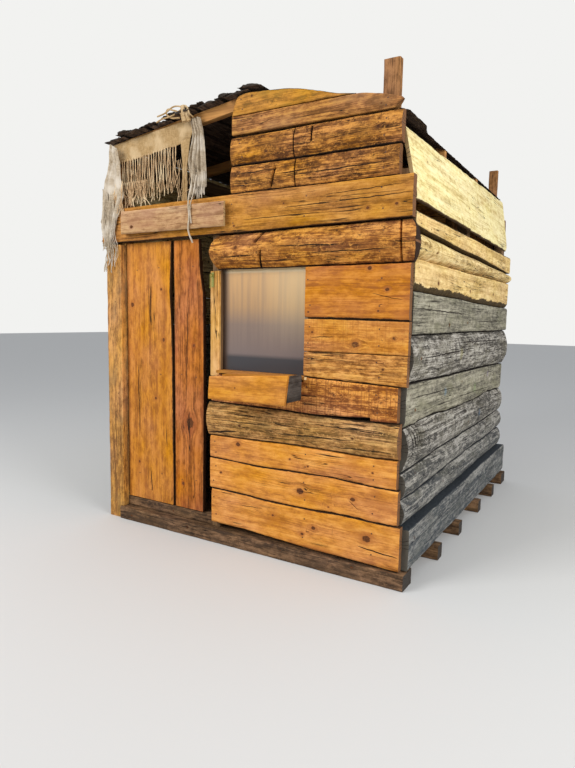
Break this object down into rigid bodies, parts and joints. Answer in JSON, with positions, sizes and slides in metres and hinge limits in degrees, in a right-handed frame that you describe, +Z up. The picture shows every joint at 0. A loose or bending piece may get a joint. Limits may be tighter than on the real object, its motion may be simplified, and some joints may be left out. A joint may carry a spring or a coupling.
{
  "type": "wooden market hut",
  "caption": "Small timber market hut clad in waney boards and log slabs, with a plank door, a counter window, a low roof of bark slabs and a cloth hung in the gable.",
  "frame": {"origin": "on the ground, in the middle of the footprint of the walls, under the middle joist", "axes": "+X along the front from the door side to the window side, +Y from the front wall to the back wall, +Z up"},
  "size_m": [2.46, 3.07, 2.9792],
  "materials": {
    "sill_timber": "dark, damp, rough sawn",
    "floor_wood": "rough sawn, trodden",
    "frame_timber": "rough sawn",
    "front_boards": "rough sawn, streaked, with dark waney edges",
    "honey_boards": "sawn, oiled by weather",
    "bark_slabs": "bark and grey weathered wood",
    "weathered_boards": "silver-grey, cracked",
    "fresh_boards": "pale, rough sawn",
    "counter_ply": "grey faced",
    "plastic_sheet": "translucent, dull",
    "iron": "forged, dark",
    "painted_iron": "worn paint",
    "cloth": "loose knitted, frayed"
  },
  "bodies": {
    "hut": {"front_sill_beam": "sill_timber", "floor_joists": "sill_timber", "floor_boards": "floor_wood", "door_sill": "honey_boards", "post_front_left": "frame_timber", "post_front_right": "frame_timber", "rear_posts": "frame_timber", "side_studs": "frame_timber", "front_studs": "frame_timber", "front_header": "frame_timber", "gable_studs": "frame_timber", "wall_plates": "frame_timber", "ridge_beam": "frame_timber", "rafters": "frame_timber", "front_lower_boards": "front_boards", "front_bark_slab": "bark_slabs", "front_waist_board": "honey_boards", "window_side_boards": "front_boards", "front_log_slab": "honey_boards", "lintel_plank": "front_boards", "gable_boards": "honey_boards", "window_batten": "fresh_boards", "window_sheet": "plastic_sheet", "counter_board": "honey_boards", "counter_box": "counter_ply", "door_pintles": "iron", "door_hook": "painted_iron", "right_lower_slabs": "weathered_boards", "right_middle_boards": "weathered_boards", "right_upper_boards": "fresh_boards", "right_top_plank": "fresh_boards", "left_lower_boards": "weathered_boards", "left_upper_boards": "fresh_boards", "back_lower_boards": "weathered_boards", "back_upper_boards": "front_boards", "roof_under_slabs": "bark_slabs", "roof_over_slabs": "bark_slabs", "ridge_cap_slab": "bark_slabs", "sign_board": "fresh_boards", "hanging_cloth": "cloth"},
    "door": {"door_wide_plank": "honey_boards", "door_narrow_plank": "honey_boards", "door_ledges": "frame_timber", "door_bands": "iron"}
  },
  "joints": [
    {"name": "door_hinge", "type": "hinge", "parent": "hut", "child": "door", "pos_m": [-1.03, -1.279, 0], "axis": [0, 0, 1], "range_deg": [0, 95]}
  ]
}
